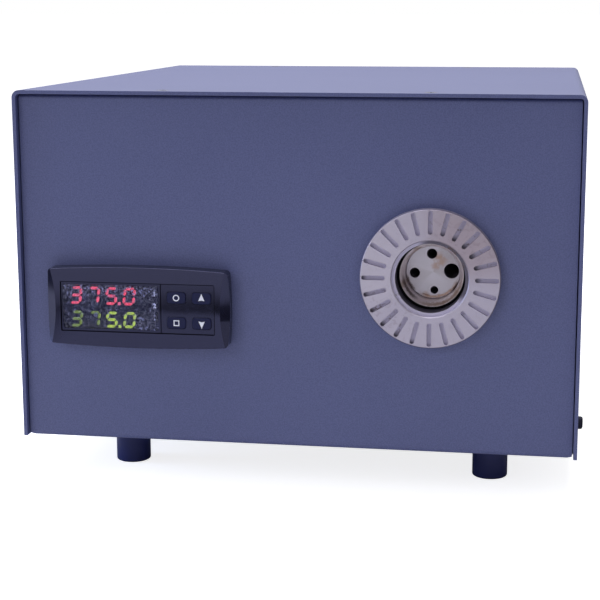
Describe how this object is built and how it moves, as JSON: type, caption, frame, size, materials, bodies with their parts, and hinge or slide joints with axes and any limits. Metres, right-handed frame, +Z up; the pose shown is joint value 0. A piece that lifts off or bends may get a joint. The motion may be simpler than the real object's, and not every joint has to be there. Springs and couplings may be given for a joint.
{
  "type": "dry well heating block instrument",
  "caption": "Bench dry well: a sheet metal case holds a heated block with a probe insert, a panel controller with keys, a fan, a mains inlet and feet.",
  "frame": {"origin": "on the bench, under the middle of the instrument's bounding box", "axes": "+Z up, +Y from the front panel to the rear, +X to the right as seen from the front"},
  "size_m": [0.2342, 0.2728, 0.165],
  "materials": {
    "case_paint": "fine textured powder coat, low gloss",
    "black_screw": "black oxide",
    "foot_rubber": "moulded rubber, satin",
    "steel_screw": "plated",
    "plate_metal": "turned, satin, slightly tarnished",
    "block_metal": "turned, heat tinted at the mouth",
    "insert_metal": "turned face, heat stained",
    "heater_steel": "dull",
    "insulation": "fibre board, matte",
    "bare_sheet": "galvanised sheet",
    "fan_black": "moulded",
    "guard_wire": "plated wire",
    "inlet_black": "moulded",
    "pin_brass": "plated brass",
    "fuse_glass": "clear",
    "relay_grey": "moulded",
    "terminal_cream": "moulded",
    "bezel_black": "gloss moulding",
    "fascia_black": "gloss print on clear",
    "window_clear": "clear, scratched film",
    "display_dark": "matte",
    "digit_red": "lit",
    "digit_green": "lit",
    "mark_pale": "dim",
    "key_blue": "satin rubber",
    "gasket_rubber": "foam rubber",
    "board_green": "laminate",
    "terminal_green": "moulded",
    "lead_sleeve": "fibre sleeved leads",
    "signal_sleeve": "sleeved leads"
  },
  "bodies": {
    "instrument": {"cover": "case_paint", "chassis": "case_paint", "foot_front_left": "foot_rubber", "foot_front_right": "foot_rubber", "foot_rear_left": "foot_rubber", "foot_rear_right": "foot_rubber", "foot_screws": "steel_screw", "base_nuts": "steel_screw", "cover_screws": "black_screw", "side_screws": "black_screw", "well_plate": "plate_metal", "plate_ring_nut": "plate_metal", "heating_block": "block_metal", "probe_insert": "insert_metal", "heaters": "heater_steel", "control_sensor": "heater_steel", "front_insulator": "insulation", "insulation_sleeve": "insulation", "rear_insulator": "insulation", "heat_can": "bare_sheet", "front_bulkhead": "bare_sheet", "rear_bulkhead": "bare_sheet", "can_rivets": "steel_screw", "bulkhead_screws": "steel_screw", "heat_limiter": "heater_steel", "fan_frame": "fan_black", "fan_guard": "guard_wire", "fan_screws": "steel_screw", "inlet_body": "inlet_black", "inlet_pins": "pin_brass", "inlet_screws": "steel_screw", "rocker_frame": "inlet_black", "relay": "relay_grey", "relay_screws": "steel_screw", "terminal_block": "terminal_cream", "terminal_screws": "steel_screw", "earth_stud": "steel_screw", "controller_bezel": "bezel_black", "controller_gasket": "gasket_rubber", "controller_fascia": "fascia_black", "display_window": "window_clear", "display_module": "display_dark", "upper_digits": "digit_red", "lower_digits": "digit_green", "indicator_marks": "mark_pale", "display_board": "board_green", "controller_case": "inlet_black", "controller_terminals": "terminal_green", "controller_clamps": "inlet_black", "power_board": "board_green", "mains_leads": "lead_sleeve", "signal_leads": "signal_sleeve"},
    "fan_rotor": {"fan_rotor": "fan_black"},
    "power_rocker": {"power_rocker": "inlet_black"},
    "fuse_drawer": {"fuse_drawer": "inlet_black", "fuse": "fuse_glass"},
    "key_set": {"key_set": "key_blue"},
    "key_up": {"key_up": "key_blue"},
    "key_mode": {"key_mode": "key_blue"},
    "key_down": {"key_down": "key_blue"}
  },
  "joints": [
    {"name": "fan_spin", "type": "hinge", "parent": "instrument", "child": "fan_rotor", "pos_m": [0.0554, 0.10957, 0.0921], "axis": [0, 1, 0], "continuous": true},
    {"name": "rocker_tilt", "type": "hinge", "parent": "instrument", "child": "power_rocker", "pos_m": [-0.062, 0.13007, 0.116], "axis": [1, 0, 0], "range_deg": [-18, 0]},
    {"name": "drawer_slide", "type": "slide", "parent": "instrument", "child": "fuse_drawer", "axis": [0, 1, 0], "range_m": [0, 0.015]},
    {"name": "key_set_press", "type": "slide", "parent": "instrument", "child": "key_set", "axis": [0, 1, 0], "range_m": [0, 0.0005], "stiffness_N_per_m": 400, "springref_m": -0.0005},
    {"name": "key_up_press", "type": "slide", "parent": "instrument", "child": "key_up", "axis": [0, 1, 0], "range_m": [0, 0.0005], "stiffness_N_per_m": 400, "springref_m": -0.0005},
    {"name": "key_mode_press", "type": "slide", "parent": "instrument", "child": "key_mode", "axis": [0, 1, 0], "range_m": [0, 0.0005], "stiffness_N_per_m": 400, "springref_m": -0.0005},
    {"name": "key_down_press", "type": "slide", "parent": "instrument", "child": "key_down", "axis": [0, 1, 0], "range_m": [0, 0.0005], "stiffness_N_per_m": 400, "springref_m": -0.0005}
  ]
}
